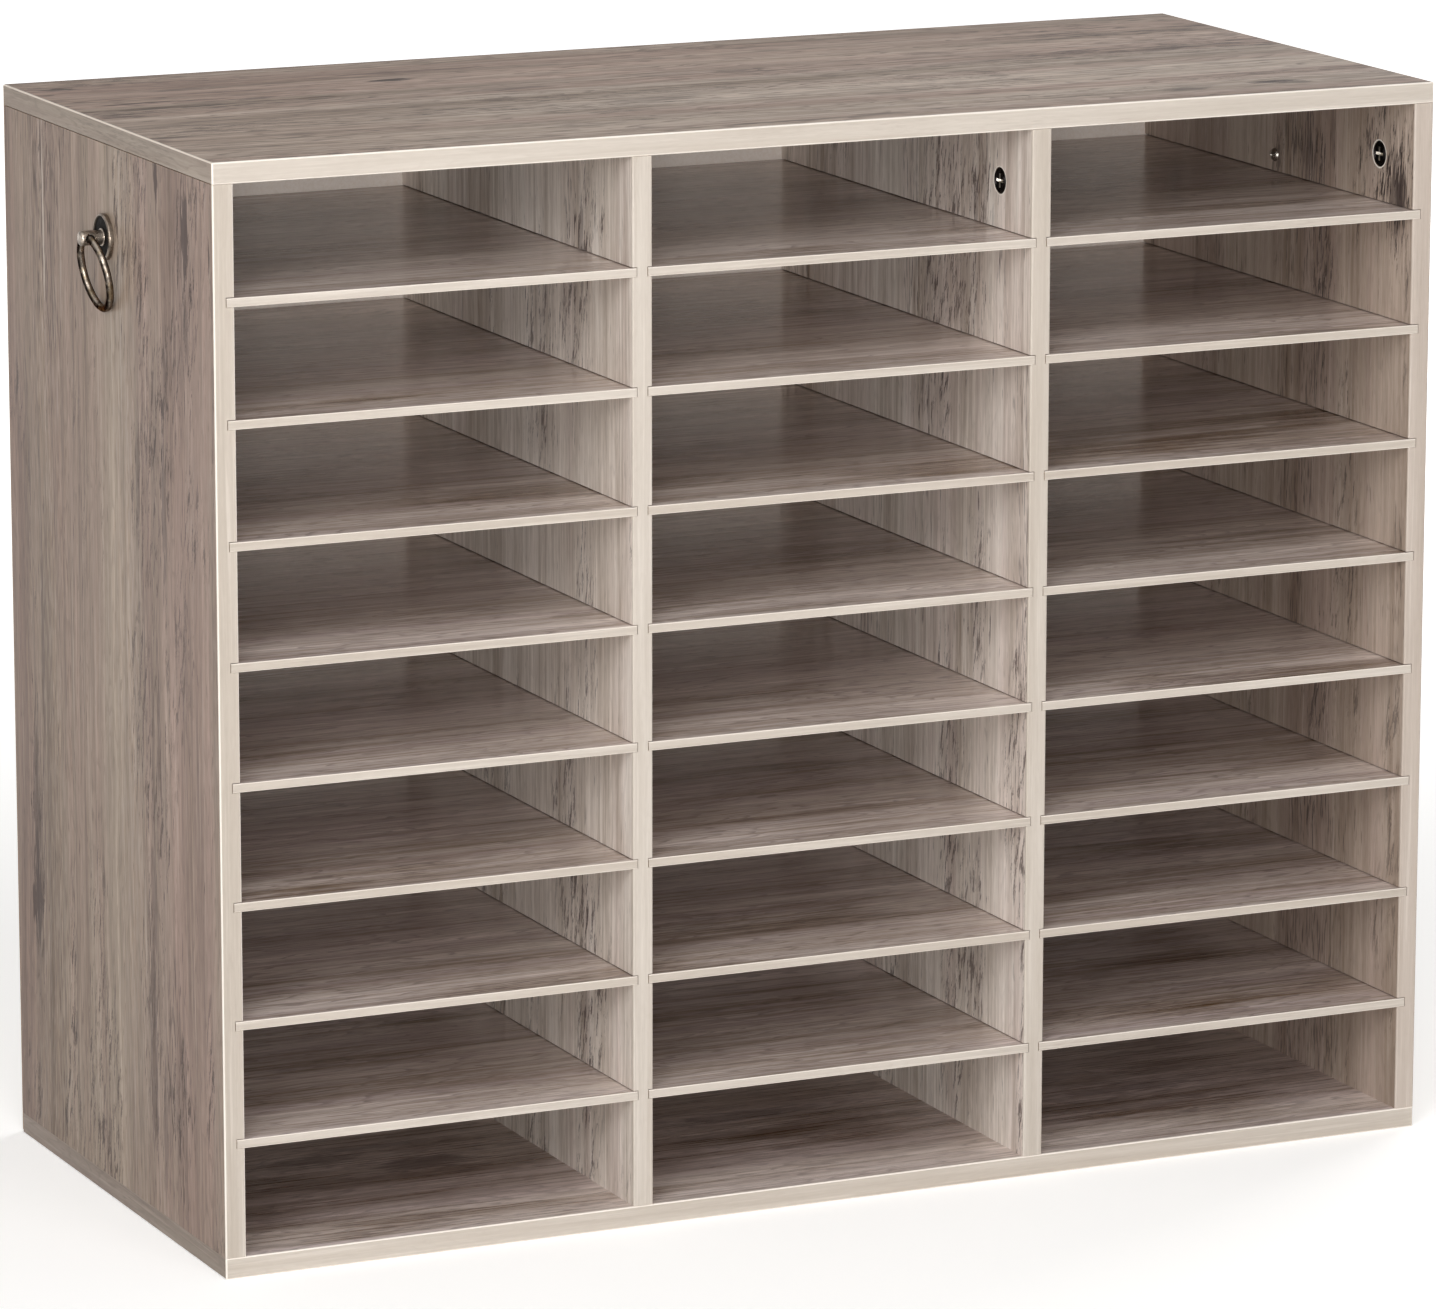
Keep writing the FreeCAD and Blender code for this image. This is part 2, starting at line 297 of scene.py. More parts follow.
def buildGreyOak():
    # Printed weathered oak. The vector's X runs along the grain, Y across it, Z out of the board.
    tree, start, end = newGroup("greyOak", "ShaderNodeTree", dict(oakPrint, Vector="Vector"), {
        "Color": "Color", "Roughness": "Float", "Height": "Float", "Ragged": "Float", "Cracks": "Float"})
    shift = vectorMaths(tree, "MULTIPLY", start["seed"], (0.73, 0.31, 0.17))
    shifted = vectorMaths(tree, "ADD", start["Vector"], shift)
    along, across, out = split(tree, vectorMaths(tree, "DIVIDE", shifted, start["size"]))

    def layer(name, line):
        stretch, squeeze, offset, detail, roughness = oakLayers[name]
        vector = combine(tree, timesPlus(tree, along, stretch, offset), product(tree, line, squeeze),
                         product(tree, out, squeeze))
        return noise(tree, vector, detail, roughness)

    def swing(value, depth, onto):
        return timesPlus(tree, maths(tree, "SUBTRACT", value, 0.5), depth, onto)

    # The grain bends round slow figures and shivers a little.
    bend = maths(tree, "SUBTRACT", layer("bend", across), 0.5)
    line = timesPlus(tree, swing(layer("shiver", across), 0.1, bend), start["wave"], across)

    plank = combine(tree, product(tree, along, 0.9), maths(tree, "DIVIDE", line, start["plank"]), out)
    tone = remap(tree, noise(tree, plank, 3.0, 0.6), 0.42, 0.57)
    streak = layer("streak", line)
    fibre = layer("fibre", line)
    pores = layer("pores", line)
    cluster = remap(tree, layer("patch", line), 0.53, 0.64)

    # Growth lines: thin dark late wood that comes and goes.
    phase = timesPlus(tree, layer("growth", line), 16.0, product(tree, line, 90.0))
    saw = maths(tree, "FRACT", phase)
    rings = product(tree, remap(tree, saw, 0.55, 0.9), remap(tree, saw, 0.9, 1.0, 1.0, 0.0),
                    remap(tree, fibre, 0.38, 0.58), start["lines"])
    fleck = product(tree, remap(tree, timesPlus(tree, cluster, 0.13, pores), 0.64, 0.75), start["fleck"])

    # Short cracks run slantwise from fibre to fibre, only in clusters, with a painted highlight beside them,
    # as on a raised edge.
    ticks = layer("ticks", timesPlus(tree, along, 0.15, line))
    cracks = remap(tree, ticks, 0.525, 0.585)
    broken = remap(tree, layer("groups", line), 0.53, 0.62)
    crack = product(tree, cracks, broken, start["crack"])
    crackHighlight = product(tree, remap(tree, ticks, 0.38, 0.46, 1.0, 0.0), broken, product(tree, start["crack"], 0.3))
    paleFibre = product(tree, remap(tree, layer("paleFibre", line), 0.55, 0.68), start["paleAmount"])

    shade = swing(layer("broad", line), 0.9, 0.0)
    shade = swing(fibre, start["fibre"], swing(streak, 1.2, shade))
    shade = swing(layer("grit", line), 0.3, shade)
    shade = maths(tree, "SUBTRACT", shade, product(tree, cluster, start["smudge"]))
    shade = timesPlus(tree, shade, start["contrast"], 1.0)
    # Dark grain is warmer than pale grain.
    lift = maths(tree, "SUBTRACT", shade, 1.0)
    shades = combine(tree, shade, timesPlus(tree, lift, 1.12, 1.0), timesPlus(tree, lift, 1.25, 1.0))
    colour = mixColour(tree, tone, start["warm"], start["cool"])
    colour = mixColour(tree, 1.0, colour, shades, "MULTIPLY")
    colour = mixColour(tree, largest(tree, paleFibre, crackHighlight), colour, start["pale"])
    darkness = largest(tree, fleck, crack, rings)
    feed(tree, end, {
        "Color": mixColour(tree, darkness, colour, start["dark"]),
        "Roughness": remap(tree, fibre, 0.3, 0.7, 0.40, 0.50),
        "Height": timesPlus(tree, fibre, 0.4, product(tree, darkness, -1.0)),
        "Ragged": swing(pores, 2.6, swing(streak, 1.4, 0.0)),
        "Cracks": cracks})
    return tree


def buildMark():
    # One mark printed at a known place. Ragged breaks its border up along the fibres.
    tree, start, end = newGroup("charcoalMark", "ShaderNodeTree", {
        "Vector": "Vector", "Ragged": 0.0, "Place": "Vector", "Size": "Vector", "Strength": 0.7,
    }, {"Mask": "Float"})
    offset = vectorMaths(tree, "SUBTRACT", start["Vector"], start["Place"])
    distance = vectorMaths(tree, "LENGTH", vectorMaths(tree, "DIVIDE", offset, start["Size"]))
    reach = maths(tree, "SUBTRACT", maths(tree, "ADD", 1.0, start["Ragged"]), distance)
    feed(tree, end, {"Mask": product(tree, remap(tree, reach, 0.05, 0.3), start["Strength"])})
    return tree


def buildDrilledRim():
    # The chipped pale rim that a drill leaves round a hole in the laminate.
    tree, start, end = newGroup("drilledRim", "ShaderNodeTree", {
        "Vector": "Vector", "Place": "Vector", "Radius": 7.5 * mm,
    }, {"Mask": "Float"})
    distance = vectorMaths(tree, "DISTANCE", start["Vector"], start["Place"])
    chips = maths(tree, "SUBTRACT", noise(tree, start["Vector"], scale=900.0), 0.5)
    past = timesPlus(tree, chips, 0.9 * mm, maths(tree, "SUBTRACT", distance, start["Radius"]))
    feed(tree, end, {"Mask": remap(tree, past, 0.5 * mm, 1.1 * mm, 0.9, 0.0)})
    return tree


def buildArrisWearAndHighlight():
    # 1 on rounded arrises, 0 on flat faces: a rounded arris is the only place that faces no axis. This mask
    #                                        paints arrises paler: partly worn edges, partly a painted
    #                                        highlight where the rounding catches the light.
    tree, start, end = newGroup("edgeWear", "ShaderNodeTree", {
        "Normal": "Vector", "Amount": 1.0,
    }, {"Mask": "Float"})
    flat = largest(tree, *split(tree, vectorMaths(tree, "ABSOLUTE", start["Normal"])))
    feed(tree, end, {"Mask": product(tree, remap(tree, flat, 0.93, 0.995, 1.0, 0.0), start["Amount"])})
    return tree


def buildPatina():
    # Blotches of old nickel and the fine scratches on it.
    tree, start, end = newGroup("metalPatina", "ShaderNodeTree", {
        "Vector": "Vector", "bright": "Color", "tarnish": "Color", "blotch": 4 * mm, "amount": 0.5,
    }, {"Color": "Color", "Roughness": "Float", "Height": "Float"})
    blotch = noise(tree, vectorMaths(tree, "DIVIDE", start["Vector"], start["blotch"]), 4.0, 0.6)
    scratch = noise(tree, start["Vector"], 4.0, 0.75, 2600.0)
    mask = product(tree, remap(tree, blotch, 0.42, 0.62), start["amount"])
    dull = remap(tree, blotch, 0.35, 0.65, 0.20, 0.38)
    feed(tree, end, {
        "Color": mixColour(tree, mask, start["bright"], start["tarnish"]),
        "Roughness": maths(tree, "ADD", dull, product(tree, scratch, 0.10)),
        "Height": scratch})
    return tree


greyOak = buildGreyOak()
charcoalMark = buildMark()
drilledRim = buildDrilledRim()
edgeWear = buildArrisWearAndHighlight()
metalPatina = buildPatina()
print("shader groups are built")


# Board materials

# Which axis of a piece runs along the grain, which across it, and which out of the board.
grainAxes = {
    "level": (0, 1, 2),
    "upright": (2, 1, 0),
    "endwise": (1, 2, 0),
    "bandUpright": (2, 0, 1),
    "bandAcross": (0, 2, 1),
}
faceSkin = 0.25 * mm
printRoughness = 0.45
chippedRim = paint(240, 234, 225)
chipboard = tones(dark=(128, 104, 80), pale=(196, 172, 140))
oakTones = tones(warm=(148, 128, 117), cool=(153, 139, 126), dark=(64, 54, 51), pale=(192, 178, 165))
# The inner and shelf tones are the same laminate as the oak tones, painted paler and cooler: painted light
# inside the compartments.
innerPaintedLightTones = tones(warm=(208, 194, 184), cool=(217, 206, 195), dark=(98, 85, 81), pale=(240, 232, 223))
shelfPaintedLightTones = tones(warm=(197, 180, 174), cool=(205, 190, 181), dark=(96, 80, 79), pale=(226, 212, 202))
bandTones = tones(warm=(187, 176, 164), cool=(194, 184, 173), dark=(166, 152, 141), pale=(226, 217, 208))
endTones = tones(warm=(142, 125, 112), cool=(150, 136, 122), dark=(92, 78, 70), pale=(178, 163, 148))
# A tint multiplies the board's colour and so keeps its grain.
tints = tones(umber=(226, 218, 213), rosy=(246, 239, 236), olive=(252, 251, 245))


def printMarks(tree, spec, vector, oak):
    colour = oak["Color"]
    through = 1000.0
    for tint, places in spec.get("marks", []):
        for along, across, length, breadth, strength in places:
            mark = useGroup(tree, charcoalMark, {
                "Vector": vector, "Ragged": oak["Ragged"], "Place": (along * mm, across * mm, 0.0),
                "Size": (length * mm, breadth * mm, through), "Strength": strength})
            mask = mark["Mask"]
            if tint == "cracked":
                mask = product(tree, mask, timesPlus(tree, oak["Cracks"], 0.85, 0.15))
            if tint in tints:
                colour = mixColour(tree, mask, colour, tints[tint], "MULTIPLY")
            else:
                colour = mixColour(tree, mask, colour, spec["pale" if tint == "pale" else "dark"])
    return colour


def showCore(tree, core, place, colour):
    # Between the two faces the chipboard shows: in grooves and on sawn edges.
    axis, low, high = core
    middle = split(tree, place)[axis]
    inside = product(tree, maths(tree, "GREATER_THAN", middle, low + faceSkin),
                     maths(tree, "LESS_THAN", middle, high - faceSkin))
    grit = noise(tree, place, 3.0, 0.7, 700.0)
    return mixColour(tree, inside, colour, mixColour(tree, grit, chipboard["dark"], chipboard["pale"]))


def paintArrisWearAndHighlight(tree, spec, colour):
    # Rounded arrises get a paler colour: partly worn edges, partly a painted highlight.
    normal = addNode(tree, "ShaderNodeNewGeometry").outputs["Normal"]
    mask = useGroup(tree, edgeWear, {"Normal": normal, "Amount": spec["wear"]})["Mask"]
    # Only arrises that face up keep the painted highlight, as the light falls from above.
    if spec.get("wearUp"):
        mask = product(tree, mask, remap(tree, split(tree, normal)[2], 0.1, 0.3))
    return mixColour(tree, mask, colour, spec["wearColour"])


def makeLaminate(name, spec):
    material, tree, surface, place = newMaterial(name)
    axes = split(tree, place)
    vector = combine(tree, *[axes[axis] for axis in grainAxes[spec["grain"]]])
    printed = {key: value for key, value in spec.items() if key in oakPrint}
    oak = useGroup(tree, greyOak, dict(printed, Vector=vector))
    colour = printMarks(tree, spec, vector, oak)
    for middle, radius in spec.get("holes", []):
        rim = useGroup(tree, drilledRim, {"Vector": place, "Place": middle, "Radius": radius})
        colour = mixColour(tree, rim["Mask"], colour, chippedRim)
    if "core" in spec:
        colour = showCore(tree, spec["core"], place, colour)
    if "wear" in spec:
        colour = paintArrisWearAndHighlight(tree, spec, colour)
    rougher = spec.get("roughness", printRoughness) - printRoughness
    feed(tree, surface, {
        "Base Color": colour, "Specular IOR Level": spec.get("shine", 0.25),
        "Roughness": maths(tree, "ADD", oak["Roughness"], rougher)})
    addBump(tree, surface, oak["Height"], spec.get("bump", 0.25), 0.12 * mm)
    return material


def islands(node):
    # Lowest and highest corner of each loose solid in a node.
    shape = bmesh.new()
    shape.from_mesh(frame["nodes"][node].data)
    bmesh.ops.remove_doubles(shape, verts=shape.verts, dist=0.002 * mm)
    left = set(shape.verts)
    found = []
    while left:
        reached = [left.pop()]
        for vertex in reached:
            for edge in vertex.link_edges:
                other = edge.other_vert(vertex)
                if other in left:
                    left.remove(other)
                    reached.append(other)
        found.append([Vector([pick(vertex.co[axis] for vertex in reached) for axis in range(3)])
                      for pick in (min, max)])
    shape.free()
    return sorted(found, key=lambda pair: tuple(round(value, 5) for value in pair[0]))


def camHoles(left):
    # Middle and radius of each cam whose face shows on the board that starts at this x.
    holes = []
    camReach = 14 * mm
    for low, high in islands("cam_locks"):
        middle = (low + high) / 2
        if abs(middle.x - left) < camReach:
            face = high.x if middle.x < 0 else low.x
            holes.append(((face, middle.y, middle.z), (high.z - low.z) / 2))
    return holes


# A mark is (along, across, half length, half breadth, strength), in mm along and across the grain.
leftMarks = [
    ("umber", [(300, 165, 900, 90, 1.0)]),
    ("olive", [(300, 40, 900, 80, 0.8)]),
    ("rosy", [(300, -110, 900, 90, 0.8)]),
    ("dark", [
        (572, -122.5, 30, 7, 0.95), (602, -79.6, 20, 4, 0.95), (561, -158.9, 11, 1.6, 0.95),
        (494, -92, 16, 4, 0.5), (516, -124, 20, 3, 0.5), (412, -86, 40, 4, 0.5), (430, -46, 40, 3, 0.45),
        (278, -73, 44, 4, 0.5), (207, 127, 56, 5, 0.6), (150, 127, 44, 7, 0.85), (395, 134, 66, 5, 0.35),
        (305, 112, 66, 3, 0.4), (147, 129, 20, 9, 0.95), (110, -58, 70, 5, 0.6), (190, -62, 50, 5, 0.4),
        (60, -75, 40, 4, 0.45)]),
    ("cracked", [
        (560, -122, 50, 16, 1.0), (520, -125, 40, 14, 0.95), (500, -100, 34, 24, 0.9),
        (460, -84, 50, 22, 0.9), (420, -60, 60, 26, 0.85), (300, -52, 70, 22, 0.85),
        (235, -73, 50, 16, 0.85), (335, -115, 50, 14, 0.7), (170, 126, 90, 14, 0.9),
        (84, -98, 34, 20, 0.9), (130, -60, 90, 18, 0.7)]),
    # The long pale line along the rear edge, at across 166, is a painted highlight on the rear arris.
    ("pale", [(545, 99.6, 80, 1.4, 0.8), (520, -22, 95, 1.2, 0.4), (300, 166, 900, 3.4, 0.9)]),
]
topMarks = [
    ("umber", [(0, 110, 900, 70, 0.7), (-330, 0, 160, 200, 0.6)]),
    ("pale", [(-100, -60, 170, 4, 0.2)]),
    ("dark", [
        (-352, 128, 12, 7, 0.9), (-320, 59, 35, 4, 0.75), (-323, 38, 23, 3, 0.5), (-166, 87, 16, 5, 1.0),
        (-144, 115, 44, 6, 0.45), (-263, 51, 13, 5, 0.55), (-62, -46, 34, 9, 0.4), (30, 40, 20, 9, 0.55),
        (163, 60, 19, 7, 0.45), (228, -133, 22, 7, 0.6), (290, -125, 17, 5.5, 1.0),
        (302, -133, 10, 4, 0.6), (27, -149, 21, 4, 0.45), (361, 62, 11, 9, 0.4),
        (-27, -153, 50, 3, 0.45), (-119, 26, 29, 6, 0.4), (-285, 101, 26, 6, 0.45)]),
]
rightMarks = [
    ("dark", [
        (546, -144, 26, 12, 0.6), (552, -150, 22, 7, 0.8), (560, -42, 14, 6, 0.45),
        (575, -70, 24, 4, 0.35)]),
    ("cracked", [
        (548, -146, 40, 20, 1.0), (566, -126, 36, 26, 0.9), (560, -44, 26, 20, 0.9),
        (490, -60, 70, 16, 0.8), (350, -90, 90, 14, 0.7), (220, -60, 70, 16, 0.7)]),
]
dividerMarks = [
    ("dark", [(545, -96, 26, 3, 0.45)]),
    ("cracked", [(560, -104, 34, 22, 0.9), (510, -85, 60, 22, 0.9), (470, -40, 70, 24, 0.8)]),
    ("pale", [(540, -115, 34, 5, 0.6)]),
    ("cracked", [(330, -100, 60, 16, 0.8), (240, -70, 70, 18, 0.8), (120, -100, 60, 16, 0.8)]),
]
bottomMarks = [
    ("dark", [
        (-200, -33, 34, 14, 0.6), (-260, -5, 30, 12, 0.5), (-210, 8, 60, 5, 0.4), (10, -20, 60, 10, 0.5),
        (240, -60, 50, 8, 0.4)]),
    ("umber", [(0, 60, 900, 120, 0.7)]),
]

dividerOak = dict(innerPaintedLightTones, grain="upright", lines=0.12, contrast=0.95, fibre=1.3, paleAmount=0.6,
                  crack=0.85, marks=dividerMarks)
# The side boards print the same laminate: the left side's tones are painted darker as painted shade, the
# right side's paler as painted light.
boards = {
    "left_side_panel": dict(
        oakTones, grain="upright", seed=1.0, lines=0.25, contrast=1.5, fleck=0.75, crack=0.9,
        warm=paint(141, 120, 108), cool=paint(146, 129, 115), dark=paint(58, 36, 26), marks=leftMarks),
    "right_side_panel": dict(
        oakTones, grain="upright", seed=4.0, fleck=0.6, lines=0.15, contrast=0.9, paleAmount=0.5,
        warm=paint(164, 145, 133), cool=paint(173, 156, 142), marks=rightMarks),
    "divider_1_panel": dict(dividerOak, seed=7.0),
    "divider_2_panel": dict(dividerOak, seed=12.0),
    "top_panel": dict(
        oakTones, grain="level", seed=20.0, size=1.7, fleck=1.0, crack=0.7, lines=0.6, contrast=1.9,
        shine=0.08, roughness=0.5, warm=paint(152, 130, 117), cool=paint(157, 140, 126),
        dark=paint(46, 27, 17), marks=topMarks),
    "bottom_panel": dict(
        shelfPaintedLightTones, grain="level", seed=26.0, size=1.3, contrast=1.35, smudge=0.2, lines=0.5, crack=0.3,
        roughness=0.3, shine=0.5, marks=bottomMarks),
}

# The bands' rounded arrises are painted near white: partly worn edges, partly a painted highlight.
frontBand = dict(
    bandTones, size=1.0, plank=0.03, wave=0.004, contrast=0.3, lines=0.1, fleck=0.25, crack=0.0,
    paleAmount=0.25, wear=0.85, wearColour=paint(248, 239, 229), roughness=0.42, bump=0.1)
uprightBand = dict(frontBand, grain="bandUpright", seed=33.0)
endBand = dict(
    endTones, grain="endwise", size=1.2, plank=0.03, wave=0.006, contrast=0.8, fleck=0.4, crack=0.0,
    wear=1.0, wearUp=True, wearColour=paint(232, 219, 205), roughness=0.42, bump=0.15)
# Each finish of edge band, and the nodes that have it. Among the upright bands only the left side's gets the
# painted arris highlight, on the side the light comes from.
bands = {
    "uprightBand": (dict(uprightBand, wear=0.0), ["divider_1_front_band", "divider_2_front_band"]),
    "leftBand": (dict(uprightBand, wear=0.7), ["left_side_front_band"]),
    "rightBand": (dict(uprightBand, wear=0.0, warm=paint(180, 166, 155), cool=paint(188, 175, 164)),
                  ["right_side_front_band"]),
    "levelBand": (dict(frontBand, grain="bandAcross", seed=37.0), ["top_front_band", "bottom_front_band"]),
    "topEndBand": (dict(endBand, seed=41.0), ["top_left_band", "top_right_band"]),
    "bottomEndBand": (dict(endBand, seed=47.0, wear=0.15, warm=paint(134, 119, 108),
                           cool=paint(140, 127, 114)), ["bottom_left_band", "bottom_right_band"]),
}


def paintNode(name, material):
    slots = frame["nodes"][name].data.materials
    if len(slots) == 0:
        slots.append(material)
    for index in range(len(slots)):
        slots[index] = material


def paintBoards():
    for name, spec in boards.items():
        low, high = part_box(name)
        upright = spec["grain"] == "upright"
        axis = 0 if upright else 2
        holes = camHoles(low[0]) if upright else []
        core = (axis, low[axis], high[axis])
        paintNode(name, makeLaminate(name + "_oak", dict(spec, holes=holes, core=core)))
    for name, (spec, nodes) in bands.items():
        band = makeLaminate(name, spec)
        for node in nodes:
            paintNode(node, band)


paintBoards()
print("boards and bands are finished")


# Back sheet

# The inside face is a pale coating; its cool tone is partly painted light inside the compartments.
backSheet = tones(inside=(216, 206, 198), outside=(176, 150, 120), fibre=(150, 124, 96))


def makeBackSheet(spec):
    low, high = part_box("back_panel")
    material, tree, surface, place = newMaterial("backSheetBoard", Roughness=0.6)
    face = maths(tree, "LESS_THAN", split(tree, place)[1], low[1] + faceSkin)
    grit = noise(tree, place, 4.0, 0.8, 420.0)
    mottle = remap(tree, grit, 0.35, 0.68)
    outside = mixColour(tree, mottle, spec["fibre"], spec["outside"])
    inside = mixColour(tree, product(tree, mottle, 0.25), spec["inside"], spec["outside"])
    feed(tree, surface, {"Base Color": mixColour(tree, face, outside, inside)})
    addBump(tree, surface, grit, 0.3, 0.2 * mm)
    paintNode("back_panel", material)


makeBackSheet(backSheet)


# Geometry Nodes helpers

def shapeNode(tree, kind, inputs=None, **settings):
    return addNode(tree, "GeometryNode" + kind, inputs, **settings).outputs[0]


def runTree(name, tree, values, start=None):
    # Runs a tree on a start mesh and keeps the result as a plain mesh.
    piece = addObject(name, start or bpy.data.meshes.new(name))
    modifier = piece.modifiers.new("build", "NODES")
    modifier.node_group = tree
    for item in tree.interface.items_tree:
        if item.item_type == "SOCKET" and item.in_out == "INPUT" and item.name in values:
            modifier[item.identifier] = values[item.name]
    evaluated = piece.evaluated_get(bpy.context.evaluated_depsgraph_get())
    mesh = bpy.data.meshes.new_from_object(evaluated)
    piece.modifiers.remove(modifier)
    piece.data = mesh
    mesh.name = name
    return piece


def buildShelfTree():
    tree, start, end = newGroup("shelfBoard", "GeometryNodeTree", {
        "Width": 0.24, "Depth": 0.32, "Thickness": 0.005, "Rounding": 0.0006, "Place": "Vector",
        "Face": "Material", "Band": "Material", "Core": "Material",
    }, {"Geometry": "Geometry"})
    # The front edge is rounded, the back edge only just.
    backRounding = 0.15 * mm
    atFront = maths(tree, "LESS_THAN", split(tree, shapeNode(tree, "InputPosition"))[0], 0.0)
    radius = timesPlus(tree, atFront, maths(tree, "SUBTRACT", start["Rounding"], backRounding), backRounding)
    section = shapeNode(tree, "CurvePrimitiveQuadrilateral",
                        {"Width": start["Depth"], "Height": start["Thickness"]})
    section = shapeNode(tree, "FilletCurve", {"Curve": section, "Count": 6, "Radius": radius}, mode="POLY")
    section = shapeNode(tree, "FillCurve", {"Curve": section}, mode="NGONS")
    # The section is drawn flat, then stood up: its X becomes depth and its Y becomes height.
    section = shapeNode(tree, "Transform",
                        {"Geometry": section, "Rotation": (math.pi / 2, 0.0, math.pi / 2)})
    leftwards = combine(tree, product(tree, start["Width"], 0.5, -1.0), 0.0, 0.0)
    section = shapeNode(tree, "Transform", {"Geometry": section, "Translation": leftwards})
    grown = shapeNode(tree, "ExtrudeMesh", {
        "Mesh": section, "Offset": combine(tree, 1.0, 0.0, 0.0), "Offset Scale": start["Width"],
        "Individual": False})
    joined = tree.nodes.new("GeometryNodeJoinGeometry")
    tree.links.new(grown, joined.inputs[0])
    tree.links.new(shapeNode(tree, "FlipFaces", {"Mesh": section}), joined.inputs[0])
    board = shapeNode(tree, "MergeByDistance", {"Geometry": joined.outputs[0], "Distance": 0.001 * mm})
    board = shapeNode(tree, "Transform", {"Geometry": board, "Translation": start["Place"]})
    x, y, z = split(tree, shapeNode(tree, "InputNormal"))
    front = maths(tree, "LESS_THAN", y, -0.02)
    level = maths(tree, "GREATER_THAN", maths(tree, "ABSOLUTE", z), 0.999)
    for selection, finish in ((None, "Core"), (front, "Band"), (level, "Face")):
        board = shapeNode(tree, "SetMaterial", {
            "Geometry": board, "Selection": selection, "Material": start[finish]})
    feed(tree, end, {"Geometry": shapeNode(tree, "RealizeInstances", {"Geometry": board})})
    return tree


shelves = {
    "columns": 3,
    "rows": 8,
    "rounding": 0.6 * mm,
    "face": dict(shelfPaintedLightTones, grain="level", seed=52.0, size=1.3, contrast=1.35, smudge=0.2, crack=0.2,
                 fleck=0.5, lines=0.5, roughness=0.2, shine=0.5),
    "band": dict(frontBand, grain="bandAcross", seed=58.0, wear=0.7),
    "core": dict(shelfPaintedLightTones, grain="level", warm=paint(150, 124, 98), cool=paint(160, 134, 106)),
}


def makeShelves(spec):
    tree = buildShelfTree()
    face = makeLaminate("shelfFace", spec["face"])
    band = makeLaminate("shelfFrontEdge", spec["band"])
    core = makeLaminate("shelfCore", spec["core"])
    for column in range(1, spec["columns"] + 1):
        for row in range(1, spec["rows"] + 1):
            node = "column_%d_shelf_%d" % (column, row)
            low, high = corners(node)
            size = high - low
            piece = runTree(node + "_board", tree, {
                "Width": size.x, "Depth": size.y, "Thickness": size.z, "Rounding": spec["rounding"],
                "Place": (low + high) / 2, "Face": face, "Band": band, "Core": core})
            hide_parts(node)
            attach(piece, node)


makeShelves(shelves)
print("shelves are laid in their grooves")


# Turned, drilled and repeated metal pieces

def smooth(mesh):
    mesh.shade_smooth()
    mesh.set_sharp_from_angle(angle=math.radians(35))
    return mesh


def finishMesh(shape, name):
    bmesh.ops.recalc_face_normals(shape, faces=shape.faces)
    mesh = bpy.data.meshes.new(name)
    shape.to_mesh(mesh)
    shape.free()
    return smooth(mesh)


def turned(name, profile, segments=48):
    # Turns a profile of (radius, height) points round the local Z axis, as on a lathe.
    shape = bmesh.new()
    rings = []
    for radius, height in profile:
        count = segments if radius > 1e-7 else 1
        angles = [2 * math.pi * step / segments for step in range(count)]
        rings.append([shape.verts.new((radius * math.cos(a), radius * math.sin(a), height)) for a in angles])
    for lower, upper in zip(rings, rings[1:]):
        for step in range(segments):
            after = step + 1
            face = [lower[step % len(lower)], lower[after % len(lower)],
                    upper[after % len(upper)], upper[step % len(upper)]]
            face = list(dict.fromkeys(face))
            if len(face) > 2:
                shape.faces.new(face)
    return finishMesh(shape, name)


def arc(radius, height, size, first, last, steps=6):
    # Points of a rounding in a profile, from the first to the last angle in degrees.
    points = []
    for step in range(steps + 1):
        angle = math.radians(first + (last - first) * step / steps)
        points.append((radius + size * math.cos(angle), height + size * math.sin(angle)))
    return points


def slab(low, high, shrink=1.0):
    # A block whose lowest face is drawn in by the shrink factor, as the arm of a cross recess is.
    shape = bmesh.new()
    points = []
    for z, share in ((low[2], shrink), (high[2], 1.0)):
        for x, y in ((low[0], low[1]), (high[0], low[1]), (high[0], high[1]), (low[0], high[1])):
            points.append(shape.verts.new((x * share, y * share, z)))
    for face in ((3, 2, 1, 0), (4, 5, 6, 7), (0, 1, 5, 4), (1, 2, 6, 5), (2, 3, 7, 6), (3, 0, 4, 7)):
        shape.faces.new([points[index] for index in face])
    return finishMesh(shape, "slab")


def cutAway(mesh, cutters):
    body = addObject("cutBody", mesh)
    helpers = [addObject("cutter", cutter) for cutter in cutters]
    for helper in helpers:
        modifier = body.modifiers.new("cut", "BOOLEAN")
        modifier.operation = "DIFFERENCE"
        modifier.solver = "EXACT"
        modifier.object = helper
    result = bpy.data.meshes.new_from_object(body.evaluated_get(bpy.context.evaluated_depsgraph_get()))
    for helper in helpers + [body]:
        bpy.data.objects.remove(helper)
    result.name = mesh.name
    return smooth(result)


def crossCutters(spec, top=0.0):
    room = 0.5 * mm
    length, width = spec["crossLength"] / 2, spec["crossWidth"] / 2
    return [slab((-x, -y, top - spec["crossDepth"]), (x, y, top + room), shrink=0.72)
            for x, y in ((length, width), (width, length))]


def facing(direction, place):
    # Turns local Z to the given axis direction and keeps local Y as level as it can.
    out = Vector(direction).normalized()
    side = Vector((0, 1, 0)) if abs(out.y) < 0.9 else Vector((1, 0, 0))
    turn = Matrix((side.cross(out), side, out)).transposed().to_4x4()
    return Matrix.Translation(place) @ turn


